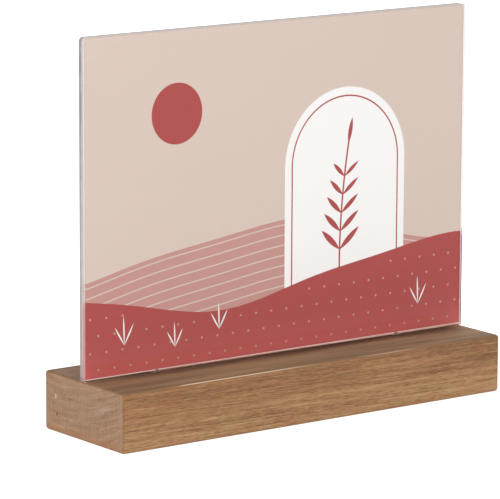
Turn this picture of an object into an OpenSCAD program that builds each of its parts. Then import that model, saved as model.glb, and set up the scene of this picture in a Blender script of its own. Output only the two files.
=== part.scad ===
// Tabletop holder for a landscape card: a clear two-sheet sleeve whose tongue stands in a blind slot
// in a solid wooden block. Origin at the centre of the block's underside, front towards -Y, +Z up.

/* [Card] */
// Width of the card, A5 landscape
card_w = 210; // [148:1:300]
// Height of the card
card_h = 148; // [105:1:210]
// Thickness of the card
card_t = 0.3; // [0.2:0.05:0.6]

/* [Block] */
// Depth of the wooden block, front to back
block_d = 60; // [40:1:90]
// Height of the block
block_h = 26.5; // [21:0.5:45]
// Radius of the block's softened edges and corners
block_edge_r = 1.5; // [0.5:0.25:4]

/* [Slot] */
// Depth of the blind slot below the top of the block
slot_depth = 15; // [6:0.5:20]
// Room between a sheet and the slot's wall, front and back
slot_wall_clear = 0.1; // [0.05:0.05:0.5]
// Room between the tongue's side and the straight part of the slot
slot_end_clear = 0.25; // [0.1:0.05:1]
// Room under the tongue, where glue and dust can go
slot_floor_clear = 1; // [0.5:0.25:3]
// Width of the flat that is broken off the slot's mouth
slot_ease = 0.5; // [0.1:0.1:1.5]

/* [Sleeve] */
// Thickness of each clear sheet
sheet_t = 2; // [1:0.25:4]
// Room between the card and each sheet
card_clear = 0.1; // [0.05:0.05:0.4]
// How far the sheets stand past each side of the card
side_margin = 0.3; // [0.1:0.1:5]
// How far the sheets stand above the card
top_margin = 0.8; // [0:0.1:5]
// Radius of the sheets' top corners
corner_r = 1.8; // [1:0.1:8]
// Width of the flat that is broken off the sheets' sharp edges
edge_ease = 0.3; // [0.1:0.05:0.45]
// Width of the tongue that goes down into the block
tongue_w = 134; // [60:1:140]
// Radius of the relief notches beside the tongue
relief_r = 1; // [0.5:0.1:2.5]
// How far the strip between the sheets stands above the wood, where it carries the card
strip_rise = 0.7; // [0.3:0.1:3]

/* [Hidden] */
$fn = 96;
// Extra length of every cut, so that no cut ends on a face
overrun = 1;
// The block is as long as the card is wide, so that their ends line up
block_l = card_w;
// Gap between the two sheets
gap_t = card_t + 2 * card_clear;
// The tongue stops short of the slot's floor
tongue_h = slot_depth - slot_floor_clear;
sheet_w = card_w + 2 * side_margin;
sheet_h = strip_rise + card_h + top_margin;
slot_w = gap_t + 2 * sheet_t + 2 * slot_wall_clear;
slot_straight = tongue_w + 2 * slot_end_clear;

// Block standing on Z = 0, centred on X and Y, with every edge and corner rounded
module soft_block(l, d, h, r) {
    x_in = l / 2 - r;
    y_in = d / 2 - r;
    translate([-x_in, -y_in, 0])
        cube([2 * x_in, 2 * y_in, h]);
    translate([-l / 2, -y_in, r])
        cube([l, 2 * y_in, h - 2 * r]);
    translate([-x_in, -d / 2, r])
        cube([2 * x_in, d, h - 2 * r]);
    for (z = [r, h - r]) {
        for (y = [-y_in, y_in])
            translate([-x_in, y, z])
                rotate([0, 90, 0])
                    cylinder(r = r, h = 2 * x_in);
        for (x = [-x_in, x_in]) {
            translate([x, y_in, z])
                rotate([90, 0, 0])
                    cylinder(r = r, h = 2 * y_in);
            for (y = [-y_in, y_in])
                translate([x, y, z])
                    sphere(r = r);
        }
    }
    for (x = [-x_in, x_in])
        for (y = [-y_in, y_in])
            translate([x, y, r])
                cylinder(r = r, h = h - 2 * r);
}

// Triangle that breaks a sharp edge: the edge is at the origin and the piece fills +X and +Y
module ease_profile(width) {
    polygon([
        [-overrun, -overrun],
        [width + overrun, -overrun],
        [-overrun, width + overrun]
    ]);
}

// Cut that eases the slot's mouth all the way round
module slot_mouth() {
    for (side = [0, 1]) {
        mirror([0, side, 0])
            translate([-slot_straight / 2, slot_w / 2, block_h])
                rotate([90, 0, 90])
                    linear_extrude(slot_straight)
                        mirror([0, 1])
                            ease_profile(slot_ease);
        mirror([side, 0, 0])
            translate([slot_straight / 2, 0, block_h])
                rotate([0, 0, -90])
                    rotate_extrude(angle = 180)
                        translate([slot_w / 2, 0])
                            mirror([0, 1])
                                ease_profile(slot_ease);
    }
}

// Slot as a cutter leaves it, straight along X with full-round ends
module blind_slot() {
    translate([0, 0, block_h - slot_depth])
        linear_extrude(slot_depth + overrun) {
            square([slot_straight, slot_w], center = true);
            for (side = [-1, 1])
                translate([side * slot_straight / 2, 0])
                    circle(d = slot_w);
        }
    slot_mouth();
}

module base_block() {
    color([0.63, 0.47, 0.33])
        difference() {
            soft_block(block_l, block_d, block_h, block_edge_r);
            blind_slot();
        }
}

// Outline of one sheet, X across and Y up from the top of the block, with the tongue below zero
module sheet_outline() {
    difference() {
        union() {
            translate([-sheet_w / 2, 0])
                square([sheet_w, sheet_h - corner_r]);
            translate([corner_r - sheet_w / 2, 0])
                square([sheet_w - 2 * corner_r, sheet_h]);
            for (side = [-1, 1])
                translate([side * (sheet_w / 2 - corner_r), sheet_h - corner_r])
                    circle(r = corner_r);
            translate([-tongue_w / 2, -tongue_h])
                square([tongue_w, tongue_h + corner_r]);
        }
        for (side = [-1, 1])
            translate([side * tongue_w / 2, 0])
                circle(r = relief_r);
    }
}

// Cuts that ease the sides, the top and the rounded corners on the sheet's face at Z = 0
module ease_cuts() {
    side_h = sheet_h - corner_r;
    top_w = sheet_w - 2 * corner_r;
    for (side = [0, 1])
        mirror([side, 0, 0]) {
            translate([-sheet_w / 2, side_h, 0])
                rotate([90, 0, 0])
                    linear_extrude(side_h + overrun)
                        ease_profile(edge_ease);
            translate([corner_r - sheet_w / 2, side_h, 0])
                rotate([0, 0, 90])
                    rotate_extrude(angle = 90)
                        translate([corner_r, 0])
                            mirror([1, 0])
                                ease_profile(edge_ease);
        }
    translate([top_w / 2, sheet_h, 0])
        rotate([90, 0, -90])
            linear_extrude(top_w)
                ease_profile(edge_ease);
}

// One sheet lying on its back in its own plane, thickness up from Z = 0
module eased_sheet() {
    difference() {
        linear_extrude(sheet_t)
            sheet_outline();
        ease_cuts();
        translate([0, 0, sheet_t])
            mirror([0, 0, 1])
                ease_cuts();
    }
}

// Stands a sheet up with its front face at y_front, its shoulders on the block
module stand_sheet(y_front) {
    translate([0, y_front + sheet_t, block_h])
        rotate([90, 0, 0])
            eased_sheet();
}

module front_panel() {
    color([0.86, 0.93, 0.94, 0.35])
        stand_sheet(-gap_t / 2 - sheet_t);
}

module rear_panel() {
    color([0.86, 0.93, 0.94, 0.35])
        stand_sheet(gap_t / 2);
}

// Strip bonded between the two sheets, which sets the gap. Its web goes down between the tongues,
// and its head is as long as the card, which stands on it.
module spacer_strip() {
    color([0.8, 0.9, 0.9, 0.45])
        translate([0, -gap_t / 2, block_h]) {
            translate([-tongue_w / 2, 0, -tongue_h])
                cube([tongue_w, gap_t, tongue_h + strip_rise]);
            translate([-card_w / 2, 0, 0])
                cube([card_w, gap_t, strip_rise]);
        }
}

module card_insert() {
    color([0.86, 0.78, 0.74])
        translate([-card_w / 2, -card_t / 2, block_h + strip_rise])
            cube([card_w, card_t, card_h]);
}

base_block();
front_panel();
rear_panel();
spacer_strip();
card_insert();
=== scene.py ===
import math

import bpy
from mathutils import Matrix, Vector


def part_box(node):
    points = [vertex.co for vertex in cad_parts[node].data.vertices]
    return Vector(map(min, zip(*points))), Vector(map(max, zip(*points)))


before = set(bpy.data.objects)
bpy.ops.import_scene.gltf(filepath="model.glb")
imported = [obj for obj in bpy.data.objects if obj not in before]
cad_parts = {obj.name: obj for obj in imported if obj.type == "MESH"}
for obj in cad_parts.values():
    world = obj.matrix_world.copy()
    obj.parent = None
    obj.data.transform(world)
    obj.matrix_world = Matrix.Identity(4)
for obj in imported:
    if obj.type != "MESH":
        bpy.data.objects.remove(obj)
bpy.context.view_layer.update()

# Camera, fitted to the photograph's 500 x 499 frame. Angles in degrees, lengths in metres.
CAMERA_TARGET = (-0.01551, 0.0, 0.07472)
CAMERA_DISTANCE = 1.6634
CAMERA_AZIMUTH = -36.83
CAMERA_PITCH = 10.75
CAMERA_ROLL = 0.26
CAMERA_LENS = 270.64
SENSOR_WIDTH = 36.0
NEAR_CLIP = 0.05
FAR_CLIP = 50.0

# Studio, in metres and watts
FLOOR_SIZE = 12.0
FLOOR_GAP = 0.0002
FLOOR_COLOUR = (236, 236, 236)
FLOOR_GLOW = 0.80
FLOOR_BOUNCE = 0.10
FLOOR_IN_REFLECTIONS = 0.26
SKY_STRENGTH = 0.80
BACKDROP_IN_SHEETS = 0.55
LAMP_PLACE = (-1.1, -1.7, 1.0)
LAMP_TARGET = (0, 0, 0.07)
LAMP_SIZE = (1.2, 1.0)
LAMP_POWER = 18.5

# Materials work in millimetres
MM = 1000.0
CARD_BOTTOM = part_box("card_insert")[0].z * MM
CARD_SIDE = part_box("card_insert")[1].x * MM
SHEET_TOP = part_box("front_panel")[1].z * MM
PRINT_EDGE = 0.12

# Colours of the print, as they are seen on a screen
BEIGE = (216, 196, 184)
ROSE = (197, 146, 137)
DUSTY_RED = (174, 69, 66)
# Lighter red at the card's foot, painted light against the shade that the block casts there
RED_WITH_PAINTED_LIGHT = (203, 93, 90)
PAPER_WHITE = (247, 245, 243)
# The card's paper core, darkened with painted shade from the sheets around it
PAPER_CORE_AND_SHADE = (176, 170, 172)


def linear(colour):
    """An 8-bit screen colour as a linear one with its alpha."""
    parts = [c / 255 for c in colour]
    parts = [c / 12.92 if c <= 0.04045 else ((c + 0.055) / 1.055) ** 2.4 for c in parts]
    return (*parts, 1.0)


class Field:
    """A number that varies over a surface. Arithmetic on it adds the Math nodes for the same sum."""

    def __init__(self, tree, socket):
        self.tree = tree
        self.socket = socket

    def node(self, operation, *values, clamp=False):
        made = self.tree.nodes.new("ShaderNodeMath")
        made.operation = operation
        made.use_clamp = clamp
        for socket, value in zip(made.inputs, values):
            if isinstance(value, Field):
                self.tree.links.new(value.socket, socket)
            else:
                socket.default_value = value
        return Field(self.tree, made.outputs[0])

    def __add__(self, other):
        return self.node("ADD", self, other)

    def __radd__(self, other):
        return self.node("ADD", other, self)

    def __sub__(self, other):
        return self.node("SUBTRACT", self, other)

    def __rsub__(self, other):
        return self.node("SUBTRACT", other, self)

    def __mul__(self, other):
        return self.node("MULTIPLY", self, other)

    def __truediv__(self, other):
        return self.node("DIVIDE", self, other)

    def __abs__(self):
        return self.node("ABSOLUTE", self)

    def sin(self):
        return self.node("SINE", self)

    def floor(self):
        return self.node("FLOOR", self)

    def part(self):
        return self.node("FRACT", self)

    def least(self, other):
        return self.node("MINIMUM", self, other)

    def most(self, other):
        return self.node("MAXIMUM", self, other)

    def power(self, exponent):
        return self.node("POWER", self, exponent)

    def clamped(self):
        return self.node("ADD", self, 0.0, clamp=True)

    def between(self, low, high):
        """0 at low and 1 at high, with an eased change between them."""
        made = self.tree.nodes.new("ShaderNodeMapRange")
        made.interpolation_type = "SMOOTHSTEP"
        self.tree.links.new(self.socket, made.inputs["Value"])
        made.inputs["From Min"].default_value = low
        made.inputs["From Max"].default_value = high
        return Field(self.tree, made.outputs["Result"])

    def inside(self, edge=PRINT_EDGE):
        """A distance as a mask: 1 below zero and 0 above it, with a change as wide as edge."""
        return self.node("MULTIPLY_ADD", self, -1.0 / edge, 0.5, clamp=True)


def length(x, y):
    return (x * x + y * y).power(0.5)


class Surface:
    """A material under construction: its node tree, and the place and normal on its surface."""

    def __init__(self, name):
        self.material = bpy.data.materials.new(name)
        self.material.use_nodes = True
        self.tree = self.material.node_tree
        self.tree.nodes.clear()
        self.output = self.tree.nodes.new("ShaderNodeOutputMaterial")
        place = self.tree.nodes.new("ShaderNodeTexCoord")
        self.here = self.split(place.outputs["Object"], MM)
        self.x, self.y, self.z = self.here
        self.nx, self.ny, self.nz = self.split(place.outputs["Normal"], 1.0)

    def split(self, vector, gain):
        parts = self.tree.nodes.new("ShaderNodeSeparateXYZ")
        self.tree.links.new(vector, parts.inputs[0])
        return [Field(self.tree, s) * gain for s in parts.outputs]

    def join(self, fields):
        vector = self.tree.nodes.new("ShaderNodeCombineXYZ")
        for socket, field in zip(vector.inputs, fields):
            self.tree.links.new(field.socket, socket)
        return vector.outputs[0]

    def noise(self, place, size, seed, detail=2.0, rough=0.5):
        """Noise from -0.5 to 0.5. size is the length of its features along each axis."""
        made = self.tree.nodes.new("ShaderNodeTexNoise")
        scaled = [p / s for p, s in zip(place, size)]
        scaled[0] = scaled[0] + seed
        self.tree.links.new(self.join(scaled), made.inputs["Vector"])
        made.inputs["Scale"].default_value = 1.0
        made.inputs["Detail"].default_value = detail
        made.inputs["Roughness"].default_value = rough
        return Field(self.tree, made.outputs["Fac"]) - 0.5

    def mix(self, under, over, share):
        """Colour over laid on colour under, by a share from 0 to 1. Each is a socket or screen colour."""
        made = self.tree.nodes.new("ShaderNodeMix")
        made.data_type = "RGBA"
        self.tree.links.new(share.socket, made.inputs["Factor"])
        # Sockets 6 and 7 are this node's A and B for colours, and output 2 is their result
        for socket, colour in ((made.inputs[6], under), (made.inputs[7], over)):
            if isinstance(colour, tuple):
                socket.default_value = linear(colour)
            else:
                self.tree.links.new(colour, socket)
        return made.outputs[2]

    def coats(self, colour, *coats):
        """Colours laid on a first one in turn, each by its own share."""
        for over, share in coats:
            colour = self.mix(colour, over, share)
        return colour

    def tone(self, colour, value):
        """A colour made lighter or darker by a field near 1."""
        made = self.tree.nodes.new("ShaderNodeVectorMath")
        made.operation = "SCALE"
        self.tree.links.new(colour, made.inputs[0])
        self.tree.links.new(value.socket, made.inputs["Scale"])
        return made.outputs[0]

    def bump(self, height, depth):
        """A normal from a height field, where 1 stands for depth in millimetres."""
        made = self.tree.nodes.new("ShaderNodeBump")
        made.inputs["Strength"].default_value = 1.0
        made.inputs["Distance"].default_value = depth / MM
        self.tree.links.new(height.socket, made.inputs["Height"])
        return made.outputs[0]

    def principled(self, colour=None, roughness=None, normal=None, **plain):
        made = self.tree.nodes.new("ShaderNodeBsdfPrincipled")
        for name, value in plain.items():
            made.inputs[name.replace("_", " ")].default_value = value
        if colour is not None:
            self.tree.links.new(colour, made.inputs["Base Color"])
        if roughness is not None:
            self.tree.links.new(roughness.socket, made.inputs["Roughness"])
        if normal is not None:
            self.tree.links.new(normal, made.inputs["Normal"])
        return made.outputs[0]

    def nothing(self):
        """A shader that lets everything through."""
        return self.tree.nodes.new("ShaderNodeBsdfTransparent").outputs[0]

    def blend(self, under, over, share):
        """Shader over laid on shader under."""
        made = self.tree.nodes.new("ShaderNodeMixShader")
        self.tree.links.new(share.socket, made.inputs[0])
        self.tree.links.new(under, made.inputs[1])
        self.tree.links.new(over, made.inputs[2])
        return made.outputs[0]

    def finish(self, shader):
        self.tree.links.new(shader, self.output.inputs["Surface"])
        return self.material


def put_on(node, material):
    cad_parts[node].material_slots[0].material = material


# Oak

OAK_LIGHT = (187, 153, 111)
OAK_MID = (163, 123, 85)
OAK_DARK = (126, 89, 60)
OAK_RUST = (160, 106, 68)
OAK_PORE = (134, 80, 47)
# Bare wood for the chip on the left end, and the colour of a painted highlight on the top's front edge
OAK_BARE_AND_HIGHLIGHT = (236, 208, 178)
OAK_WORN = (190, 144, 98)
# Painted sheen: a grey laid on the top, as if it reflected the sky at a grazing view
OAK_PAINTED_SHEEN = (138, 124, 97)
OAK_PINK = (173, 116, 89)
OAK_GOLD = (156, 129, 82)
# Painted shade on the top along the sheets' foot
OAK_PAINTED_SHADE = (58, 34, 18)
END_LIGHT = (192, 160, 132)
END_MID = (172, 138, 109)
END_DARK = (142, 107, 82)
END_RUST = (184, 128, 88)
END_PINK = (184, 132, 110)
END_GOLD = (168, 144, 100)
END_PALE = (190, 170, 152)
GROWTH_BOW = 0.005
GROWTH_LOW = 17.0
GROWTH_FALL = 2.4
RING_SPACING = 3.8
# Distance from the middle at which the painted shade on the top begins
PAINTED_SHADE_FROM = 2.3
PALE_Y = -16.0
PALE_Z = 17.0
PALE_SLOPE = 0.33
PALE_REACH = 8.0
PALE_HEIGHT = 2.8
# Two small spots on the left end, each with its y, its z, its half width and its half height
CHIP = (21.2, 16.3, 0.6, 1.3)
KNOT = (20.3, 8.5, 0.8, 1.0)


class Oak(Surface):
    """Oiled oak. Its growth layers are bowed: they rise towards the front and, less, the back, and
    they step down to the right."""

    def __init__(self):
        super().__init__("oak_oiled")
        x, y, z = self.here
        # Masks of the part near the left end, of the part to the right, of the top and of both ends
        self.left = 1.0 - x.between(-98, -78)
        self.rightward = x.between(-60, 10)
        self.upward = self.nz.between(0.6, 0.95)
        self.endward = abs(self.nx).between(0.62, 0.92)

        # Depth in the growth layers, and the early wood of each ring
        sway = self.noise(self.here, (95, 60, 60), 3.1, detail=1)
        ripple = self.noise(self.here, (26, 9, 5), 8.7)
        curl = self.noise(self.here, (8, 8, 3), 2.9, detail=1)
        bow = (y - GROWTH_LOW) * (y - GROWTH_LOW) * GROWTH_BOW
        fall = x.between(-40, 75) * GROWTH_FALL
        waves = (ripple * 0.5 + curl * self.left) * (1.0 - self.upward * 0.9)
        self.depth = z - bow + fall + sway * 1.5 + waves
        ring = (self.depth / RING_SPACING + sway * 1.3).part()
        self.early = ring.between(0.0, 0.2) - ring.between(0.4, 0.95)

        # Figure, from wide to fine, its drift to pink and to gold, and its pores along and across
        self.patch = self.grain((90, 26, 6.5), 1.3, detail=1)
        self.broad = self.grain((64, 9, 2.8), 2.6, detail=1)
        self.streak = self.grain((40, 3.6, 0.75), 5.9, rough=0.6)
        self.fibre = self.grain((30, 1.8, 0.38), 2.2, detail=1, rough=0.7)
        hue = self.grain((26, 9, 2.6), 4.3, rough=0.65)
        self.pink = hue.between(0.0, 0.18)
        self.gold = 1.0 - hue.between(-0.18, 0.0)
        tick = self.grain((6, 0.9, 0.44), 7.4, detail=1).between(0.06, 0.18)
        self.pores = tick * (self.early * 0.5 + 0.5) * (1.0 - self.upward * 0.4)
        self.holes = self.noise(self.here, (9, 0.35, 0.35), 3.7, detail=0).between(0.12, 0.24)

        # Rounded edges, and those underneath, which wear; the others take a painted shade in the colour
        flat = abs(self.nx).most(abs(self.ny)).most(abs(self.nz))
        self.corner = (1.0 - flat).between(0.01, 0.16)
        self.worn = self.corner * (1.0 - self.nz.between(-0.4, -0.1))

    def grain(self, size, seed, **kind):
        """Noise that follows the growth layers."""
        return self.noise((self.x, self.y, self.depth), size, seed, **kind)

    def long_grain(self):
        """Colour of the top, the bottom and the long sides."""
        z, upward = self.z, self.upward
        fleck = self.grain((3.2, 0.9, 0.40), 6.2, detail=1, rough=0.6)
        line = self.grain((58, 5, 0.6), 8.3, detail=1).between(0.06, 0.20)
        vein = self.noise(self.here, (75, 0.9, 9), 1.7, detail=1, rough=0.6)
        low = 1.0 - z.between(2, 24)
        heart = z.between(12, 16) - z.between(18, 21)
        warm = (self.patch * 2.2 + self.streak * 1.6 + 0.5 - low * 0.35).clamped()
        figure = self.patch * 0.80 + self.broad * 0.60
        figure = figure + (self.streak * 0.28 + self.fibre * 1.5) * (1.0 - upward * 0.5)
        figure = figure + vein * upward * 1.5 + fleck * (1.0 - upward) * 1.15
        shade = (0.35 + low * 0.28 - heart * 0.07 + figure).clamped()
        return self.coats(
            OAK_DARK,
            (OAK_MID, shade.between(0.0, 0.55)),
            (OAK_LIGHT, shade.between(0.45, 1.0)),
            (OAK_RUST, warm * 0.30),
            (OAK_PINK, self.pink * 0.28),
            (OAK_GOLD, self.gold * 0.25),
            (OAK_RUST, (1.0 - z.between(0.3, 2.6)) * self.pink * 0.5),
            (OAK_DARK, self.early * (upward * 0.20 + 0.17)),
            (OAK_DARK, line * (z.between(12, 18) * 0.2 + 0.15)),
            (OAK_PORE, self.pores * 0.56),
        )

    def end_grain(self):
        """Colour of both ends: growth layers cut across, with rays, open pores and a rusty foot."""
        y, z = self.y, self.z
        layer = self.grain((9, 11, 0.9), 9.2, detail=3, rough=0.62)
        grit = self.noise(self.here, (3, 0.8, 0.55), 6.6, rough=0.7)
        ray = self.noise(self.here, (9, 0.42, 11), 4.4)
        shade = (0.5 + layer * 1.3 + grit * 1.2 + ray + self.patch * 0.4).clamped()
        pale_rise = (z - PALE_Z + (y - PALE_Y) * PALE_SLOPE) / PALE_HEIGHT
        pale = 1.0 - length((y - PALE_Y) / PALE_REACH, pale_rise).between(0.1, 1.3)
        return self.coats(
            END_DARK,
            (END_MID, shade.between(0.0, 0.5)),
            (END_LIGHT, shade.between(0.5, 1.0)),
            (END_PINK, self.pink * 0.3),
            (END_GOLD, self.gold * 0.2),
            (END_DARK, self.early * 0.18),
            (OAK_DARK, self.holes * (self.early * 0.4 + 0.1)),
            (END_RUST, (1.0 - z.between(0.5, 6.0)) * (self.streak + 0.6).clamped() * 0.75),
            (END_PALE, pale * self.left * (layer * 1.6 + 0.6).clamped() * 0.6),
            (OAK_BARE_AND_HIGHLIGHT, self.spot(*CHIP) * 0.8),
            (OAK_PORE, self.spot(*KNOT) * 0.85),
        )

    def spot(self, y, z, half_width, half_height):
        """Share of a small spot on the left end."""
        away = length((self.y - y) / half_width, (self.z - z) / half_height)
        return (1.0 - away.between(0.4, 1.2)) * self.left

    def painted_shade(self):
        """Share of the painted shade that spreads over the top from the sheets' foot."""
        start = self.rightward * 3.5 - 2.5
        reach = self.x.between(60, 90) * 4.0 + 10.0
        spread = (abs(self.y) - PAINTED_SHADE_FROM - start) / (reach - start)
        along = self.x.between(-112, -70) * (1.0 - self.x.between(92, 106))
        return (1.0 - spread.between(0.0, 1.0)) * self.upward * along

    def painted_edge_highlight(self):
        """Share of a painted highlight line, in two stretches of the top's front edge."""
        along = self.x.between(-78, -70) * (1.0 - self.x.between(-30, 6))
        along = along + self.x.between(20, 34) * (1.0 - self.x.between(46, 60)) * 0.35
        across = self.nz.between(0.62, 0.71) * (1.0 - self.nz.between(0.81, 0.90))
        return along * across * (1.0 - self.ny.between(-0.35, -0.1))

    def colour(self):
        upward, painted_shade = self.upward, self.painted_shade()
        band = self.noise(self.here, (150, 5, 60), 7.8, rough=0.55)
        figure = self.patch * 0.5 + self.broad * 0.6 + band * 0.9
        wood = self.coats(
            self.long_grain(),
            (self.end_grain(), self.endward),
            # Painted sheen on the top, less near the sheets' foot and towards the back
            (OAK_PAINTED_SHEEN, upward * (0.50 - painted_shade * 0.3 - self.y.between(4, 24) * 0.32)),
            (OAK_DARK, upward * (1.0 - self.x.between(-110, -40)) * 0.38),
        )
        return self.coats(
            self.tone(wood, upward * figure + 1.0),
            (OAK_WORN, self.worn * 0.2),
            # Painted shade on the rounded top edges and upright corners, against the lamp's light on them
            (OAK_DARK, (self.corner - self.worn) * 0.4),
            # Painted shade on the top along the sheets' foot, darker to the right
            (OAK_PAINTED_SHADE, painted_shade * (self.rightward * 0.13 + 0.80)),
            # Painted highlight along the top's front edge
            (OAK_BARE_AND_HIGHLIGHT, self.painted_edge_highlight() * 0.75),
        )


def oak():
    s = Oak()
    roughness = s.fibre * 0.25 + 0.52 + s.pores * 0.2 + s.endward * 0.14 - s.worn * 0.12
    height = s.fibre * 0.4 + s.streak * 0.3 - s.pores * 0.8 - s.holes * s.endward * 0.5
    return s.finish(s.principled(s.colour(), roughness, s.bump(height, 0.08), Specular_IOR_Level=0.22))


# Printed card. A place on it is u, to the right of its middle, and v, up from its foot.

# Each wave in a hill's crest has its start, its stretch and its rise
FAR_HILL = {"height": 50.0, "waves": ((-62.0, 38.0, 9.0), (0.0, 17.0, 1.6))}
NEAR_HILL = {"height": 33.0, "waves": ((30.0, 41.0, 9.5), (-8.0, 15.0, 1.2))}
# Height over which the painted light at the card's foot fades out
PAINTED_LIGHT_FADE = 30.0
SUN_U = -56.0
SUN_V = 112.0
SUN_RADIUS = 13.5
ARCH_U = 37.0
ARCH_V = 82.0
ARCH_RADIUS = 34.0
ARCH_LINE_INSET = 4.0
ARCH_LINE_HALF = 0.35
CONTOUR_STEP = 4.6
CONTOUR_HALF = 0.28
CONTOUR_DROP = 1.5
DOT_STEP_U = 8.5
DOT_STEP_V = 7.5
DOT_RADIUS = 0.55
DOT_DROP = 4.0
SPRAY = {"foot_u": 34.0, "foot_v": 34.0, "height": 58.0, "pairs": 7}
SPRAY_LEAN = 5.0
STEM_HALF = 0.45
LEAF = {"degrees": 42.0, "reach": 15.5, "width": 3.0}
TIP_LEAF = {"degrees": 90.0, "reach": 12.0, "width": 2.2}
TIP_OVERLAP = 2.0
# Each tuft's foot, u and v, and the reach of its tallest blade
TUFTS = ((-84, 13, 13), (-57, 9, 11), (-33, 14, 12), (80, 12, 13))
# Each blade's direction in degrees, and its share of the tallest one's reach
BLADES = ((62, 0.8), (92, 1.0), (121, 0.75))
BLADE_WIDTH = 0.75
BARE_FOOT = 0.15


def above_hill(u, v, height, waves):
    """Height of a point above the crest of a hill."""
    above = v - height
    for start, stretch, rise in waves:
        above = above - ((u - start) / stretch).sin() * rise
    return above


def leaf(u, v, degrees, reach, width):
    """Distance to a pointed leaf that grows from the origin in one direction."""
    turn = math.radians(degrees)
    along = (u * math.cos(turn) + v * math.sin(turn)) / reach
    across = v * math.cos(turn) - u * math.sin(turn)
    return abs(across) - along * (1.0 - along) * (2.0 * width)


def spray(u, v, foot_u, foot_v, height, pairs):
    """Distance to an upright stem with pairs of leaves that grow shorter towards its tip."""
    u, v = u - foot_u, v - foot_v
    lean = v / height
    from_stem = abs(u - lean * lean * SPRAY_LEAN)
    step = height / pairs
    shape = (from_stem - STEM_HALF).most(abs(v - height * 0.5) - height * 0.5)
    # A leaf reaches past its own row, so each point looks at its row and at the one below
    for back in (0.0, 1.0):
        row = (v / step).floor() - back
        size = 1.0 - row / (pairs * 1.9)
        one = leaf(from_stem / size, (v - row * step) / size, **LEAF)
        outside_rows = (0.5 - row).most(row - (pairs - 1.5))
        shape = shape.least(one.most(outside_rows))
    return shape.least(leaf(from_stem, v - (height - TIP_OVERLAP), **TIP_LEAF))


def tuft(u, v, foot_u, foot_v, reach):
    """Distance to three blades from one root."""
    u, v = u - foot_u, v - foot_v
    first, *others = [leaf(u, v, degrees, reach * share, BLADE_WIDTH) for degrees, share in BLADES]
    for other in others:
        first = first.least(other)
    return first


def picture(s, u, v):
    """Colour of the print: hills, a sun, and a sprig in an arch."""
    far_hill = above_hill(u, v, **FAR_HILL)
    contour = abs(((0.0 - far_hill) / CONTOUR_STEP).part() - 0.5) * CONTOUR_STEP - CONTOUR_HALF
    near_hill = above_hill(u, v, **NEAR_HILL)
    # Painted light: the near hill's red lightens towards the card's foot, against the block's shade
    ground = s.mix(DUSTY_RED, RED_WITH_PAINTED_LIGHT, (1.0 - v / PAINTED_LIGHT_FADE).clamped().power(3.0))
    dot_u = ((u / DOT_STEP_U) + (v / DOT_STEP_V).floor() * 0.5).part() - 0.5
    dot_v = (v / DOT_STEP_V).part() - 0.5
    dots = length(dot_u * DOT_STEP_U, dot_v * DOT_STEP_V) - DOT_RADIUS
    sun = length(u - SUN_U, v - SUN_V) - SUN_RADIUS
    arch = length(u - ARCH_U, (v - ARCH_V).most(0.0)) - ARCH_RADIUS
    arch_line = abs(arch + ARCH_LINE_INSET) - ARCH_LINE_HALF
    tufts = [(PAPER_WHITE, tuft(u, v, *place).inside()) for place in TUFTS]
    return s.coats(
        BEIGE,
        (DUSTY_RED, sun.inside()),
        (ROSE, far_hill.inside()),
        (BEIGE, contour.most(far_hill + CONTOUR_DROP).inside()),
        (PAPER_WHITE, arch.inside()),
        (DUSTY_RED, arch_line.inside()),
        (DUSTY_RED, spray(u, v, **SPRAY).inside()),
        (ground, near_hill.inside()),
        (ROSE, dots.most(near_hill + DOT_DROP).inside()),
        *tufts,
    )


def printed_card():
    """Matte card with a little tooth, painted shade along its sides, a bare line at its foot and a cut
    edge greyed with painted shade.
    """
    s = Surface("card_print")
    u, v = s.x, s.z - CARD_BOTTOM
    tooth = s.noise(s.here, (0.5, 0.5, 0.25), 3.8)
    cloud = s.noise(s.here, (60, 1, 45), 6.1)
    colour = s.tone(picture(s, u, v), 0.985 + cloud * 0.02 + tooth * 0.03)
    # Painted shade along the card's sides
    colour = s.tone(colour, 1.0 - abs(u).between(CARD_SIDE - 1.1, CARD_SIDE - 0.3) * 0.12)
    core = 1.0 - abs(s.ny).between(0.4, 0.6)
    # The cut edge in paper core colour, darkened with painted shade
    colour = s.coats(colour, (PAPER_WHITE, (v - BARE_FOOT).inside()), (PAPER_CORE_AND_SHADE, core))
    roughness = 0.52 + tooth * 0.2 + core * 0.3
    return s.finish(s.principled(colour, roughness, s.bump(tooth, 0.006), Specular_IOR_Level=0.3))


# Clear sheets

ACRYLIC_IOR = 1.49
# Pink of the card's red, painted on the edges as a reflection
EDGE_CARD_REFLECTION_RED = (228, 166, 166)
# Painted shade on the edges that face upwards
EDGE_TOP_SHADE = (190, 181, 178)
# Painted shade at the edges' foot, by the wood
EDGE_FOOT_SHADE = (150, 122, 98)
# Painted light line along the middle of the edges: pink by the red, white elsewhere
EDGE_PAINTED_LIGHT_BLUSH = (255, 206, 208)
EDGE_PAINTED_LIGHT = (255, 253, 252)
EDGE_POLISH = 0.08
LINE_FORWARD = 0.35
RED_FADE = 6.0
# The cut edges of each sheet: their colour at the foot and at the head, their share of the card's colour
# as a painted reflection,
# # the strength of the painted light line along their middle, and their share of what is behind them
SHEETS = {
    "front_panel": {
        "foot": (214, 208, 207),
        "head": (214, 208, 207),
        "card": 0.95,
        "line": 0.9,
        "behind": 1.0,
    },
    "rear_panel": {
        "foot": (188, 187, 188),
        "head": (152, 151, 155),
        "card": 0.15,
        "line": 0.0,
        "behind": 0.0,
    },
}


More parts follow.
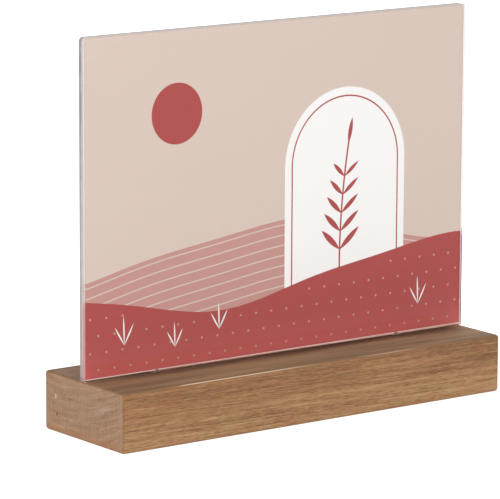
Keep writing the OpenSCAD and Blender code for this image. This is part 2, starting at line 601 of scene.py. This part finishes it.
class Sheet(Surface):
    """Clear acrylic, with polished faces and frosted cut edges that carry painted reflections of the
    card's colours and painted light and shade.
    """

    def __init__(self, node):
        super().__init__(node + "_acrylic")
        low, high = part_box(node)
        self.middle = (low.y + high.y) / 2 * MM
        self.topward = self.nz.between(0.3, 0.7)
        self.bevel = abs(self.ny).between(0.3, 0.6)
        self.red = above_hill(self.x, self.z - CARD_BOTTOM, **NEAR_HILL).inside(RED_FADE)
        # Where the card's red shows reflected in the right edge, partly painted and partly by a gloss
        self.right_red_reflection = self.x.between(100, 104) * self.red
        self.through = self.nothing()
        path = self.tree.nodes.new("ShaderNodeLightPath")
        shadow = Field(self.tree, path.outputs["Is Shadow Ray"])
        bounce = Field(self.tree, path.outputs["Is Diffuse Ray"])
        self.unseen = shadow.most(bounce)

    def let_light_by(self, shader):
        """The shader as the eye sees it. Shadow and diffuse rays pass as if it weren't there."""
        return self.blend(shader, self.through, self.unseen)

    def faces(self):
        """Polished acrylic, with faint marks of wiping and a few hairline scratches."""
        wipe = self.noise(self.here, (26, 26, 9), 2.7, detail=3, rough=0.6)
        slanted = (self.x + self.z * 0.35, self.y, self.z - self.x * 0.2)
        hairline = self.noise(slanted, (38, 9, 0.35), 5.1).between(0.20, 0.28)
        roughness = 0.004 + wipe.between(-0.05, 0.3) * 0.02 + hairline * 0.03
        glass = self.principled(
            roughness=roughness,
            normal=self.bump(wipe, 0.002),
            Base_Color=(1, 1, 1, 1),
            Transmission_Weight=1.0,
            IOR=ACRYLIC_IOR,
        )
        return self.let_light_by(glass)

    def edge_colour(self, foot, head, card, line):
        cloud = self.noise(self.here, (7, 1.2, 7), 3.3)
        rightward = self.nx.between(0.2, 0.6)
        off_line = abs(self.y - self.middle + LINE_FORWARD).between(0.3, 0.95)
        on_painted_light_line = (1.0 - off_line) * (1.0 - self.bevel) * (1.0 - rightward)
        painted_light_line_colour = self.mix(EDGE_PAINTED_LIGHT, EDGE_PAINTED_LIGHT_BLUSH, self.red)
        painted_card_reflection = self.mix(BEIGE, EDGE_CARD_REFLECTION_RED, self.red)
        return self.coats(
            foot,
            (head, self.z.between(80, SHEET_TOP)),
            (PAPER_WHITE, cloud.between(-0.15, 0.25) * 0.2),
            # Painted reflection of the card's colours on the edges
            (painted_card_reflection, (self.bevel + 0.5) * (self.red * 0.3 + card) * 0.67),
            # Painted light on the right-facing edge, away from the red
            (PAPER_WHITE, rightward * (1.0 - self.red) * 0.8),
            # Painted reflection of the card's red in the right edge
            (DUSTY_RED, self.right_red_reflection * 0.35),
            # Painted light line along the edge's middle
            (painted_light_line_colour, on_painted_light_line * line),
            # Painted shade on the upward-facing edges
            (EDGE_TOP_SHADE, self.topward * 0.5),
            # Painted shade at the edges' foot, just above the card's foot
            (EDGE_FOOT_SHADE, (1.0 - self.z.between(CARD_BOTTOM + 0.2, CARD_BOTTOM + 1.8)) * 0.6),
        )

    def edges(self, foot, head, card, line, behind):
        """Satin and frost. Low on the right edge, a gloss stands in for reflections inside the sheet."""
        colour = self.edge_colour(foot, head, card, line)
        saw = self.noise(self.here, (0.5, 6, 0.5), 1.9)
        satin = self.principled(colour, 0.445 + saw * 0.25, self.bump(saw, 0.02), IOR=ACRYLIC_IOR)
        frost = self.tree.nodes.new("ShaderNodeBsdfTranslucent")
        self.tree.links.new(colour, frost.inputs["Color"])
        edge = self.blend(satin, frost.outputs[0], saw * 0.2 + 0.45)

        upright = 1.0 - self.topward
        seen_through = (self.bevel * 0.45 + 0.28) * (1.0 - self.right_red_reflection * 0.6) * upright
        edge = self.blend(edge, self.through, seen_through * behind)

        gleam = self.tree.nodes.new("ShaderNodeFresnel")
        gleam.inputs["IOR"].default_value = ACRYLIC_IOR
        polish = self.tree.nodes.new("ShaderNodeBsdfGlossy")
        polish.inputs["Roughness"].default_value = EDGE_POLISH
        mirror = Field(self.tree, gleam.outputs[0]) * self.right_red_reflection * upright * behind
        return self.let_light_by(self.blend(edge, polish.outputs[0], mirror))


def clear_sheet(node):
    s = Sheet(node)
    cut = 1.0 - abs(s.ny).between(0.75, 0.92)
    rim = s.z.between(SHEET_TOP - 0.85, SHEET_TOP - 0.65) * 0.9
    return s.finish(s.blend(s.faces(), s.edges(**SHEETS[node]), cut.most(rim)))


# Strip under the card

STRIP_DEEP = (216, 165, 147)
STRIP_PALE = (234, 190, 173)
FROST_BOTTOM = 26.70
FROST_SLOPE = 0.0024


def strip_plastic():
    """Clear below, where it is bonded to both sheets, with a frosted top edge that catches the light."""
    s = Surface("strip_satin")
    cloud = s.noise(s.here, (9, 1, 3), 4.8, detail=3)
    fine = s.noise(s.here, (0.6, 0.6, 0.3), 0.7, detail=1)
    colour = s.mix(STRIP_DEEP, STRIP_PALE, cloud.between(-0.2, 0.2))
    frosted = s.principled(colour, 0.45 + fine * 0.2, s.bump(fine, 0.01), IOR=ACRYLIC_IOR)
    rise = s.z + s.x * FROST_SLOPE - FROST_BOTTOM
    return s.finish(s.blend(s.nothing(), frosted, rise.between(-0.05, 0.05)))


# Studio

def camera_view(tree, path):
    """1 where the camera sees the backdrop itself, less where it sees it through the sheets."""
    through = Field(tree, path.outputs["Is Transmission Ray"])
    return Field(tree, path.outputs["Is Camera Ray"]).most(through * BACKDROP_IN_SHEETS)


def floor_surface():
    """White board that glows where the camera sees it, and that is dim in reflections, as if flagged."""
    s = Surface("studio_floor")
    path = s.tree.nodes.new("ShaderNodeLightPath")
    seen = camera_view(s.tree, path)
    mirrored = Field(s.tree, path.outputs["Glossy Depth"]).least(1.0)
    board = s.principled(
        Base_Color=linear(FLOOR_COLOUR),
        Roughness=0.9,
        Specular_IOR_Level=0.0,
        Emission_Color=(1, 1, 1, 1),
    )
    glow = seen * (FLOOR_GLOW - FLOOR_BOUNCE) + FLOOR_BOUNCE
    s.tree.links.new(glow.socket, board.node.inputs["Emission Strength"])
    dim = s.tree.nodes.new("ShaderNodeEmission")
    dim.inputs["Strength"].default_value = FLOOR_IN_REFLECTIONS
    return s.finish(s.blend(board, dim.outputs[0], mirrored))


def make_floor():
    bpy.ops.mesh.primitive_plane_add(size=FLOOR_SIZE, location=(0, 0, -FLOOR_GAP))
    floor = bpy.context.object
    floor.name = "studio_floor"
    floor.data.materials.append(floor_surface())


def make_sky():
    world = bpy.data.worlds.new("studio_sky")
    world.use_nodes = True
    tree = world.node_tree
    background = tree.nodes["Background"]
    background.inputs["Color"].default_value = (1, 1, 1, 1)
    path = tree.nodes.new("ShaderNodeLightPath")
    seen = camera_view(tree, path)
    strength = seen * (1.0 - SKY_STRENGTH) + SKY_STRENGTH
    tree.links.new(strength.socket, background.inputs["Strength"])
    bpy.context.scene.world = world


def make_lamp():
    data = bpy.data.lights.new("key_lamp", "AREA")
    data.shape = "RECTANGLE"
    data.size, data.size_y = LAMP_SIZE
    data.energy = LAMP_POWER
    lamp = bpy.data.objects.new("key_lamp", data)
    lamp.location = LAMP_PLACE
    lamp.rotation_mode = "QUATERNION"
    lamp.rotation_quaternion = (Vector(LAMP_TARGET) - Vector(LAMP_PLACE)).to_track_quat("-Z", "Y")
    bpy.context.scene.collection.objects.link(lamp)


def make_camera():
    azimuth, pitch, roll = [math.radians(a) for a in (CAMERA_AZIMUTH, CAMERA_PITCH, CAMERA_ROLL)]
    back = Vector(
        (math.sin(azimuth) * math.cos(pitch), -math.cos(azimuth) * math.cos(pitch), math.sin(pitch))
    )
    level = Vector((math.cos(azimuth), math.sin(azimuth), 0.0))
    rise = back.cross(level)
    right = level * math.cos(roll) + rise * math.sin(roll)
    up = rise * math.cos(roll) - level * math.sin(roll)
    data = bpy.data.cameras.new("camera")
    data.lens = CAMERA_LENS
    data.sensor_width = SENSOR_WIDTH
    data.clip_start = NEAR_CLIP
    data.clip_end = FAR_CLIP
    camera = bpy.data.objects.new("camera", data)
    place = Vector(CAMERA_TARGET) + back * CAMERA_DISTANCE
    camera.matrix_world = Matrix.Translation(place) @ Matrix((right, up, back)).transposed().to_4x4()
    bpy.context.scene.collection.objects.link(camera)
    bpy.context.scene.camera = camera


make_camera()
make_floor()
make_sky()
make_lamp()

bpy.context.scene.view_settings.view_transform = "Standard"

put_on("base_block", oak())
for node in SHEETS:
    put_on(node, clear_sheet(node))
put_on("spacer_strip", strip_plastic())
put_on("card_insert", printed_card())
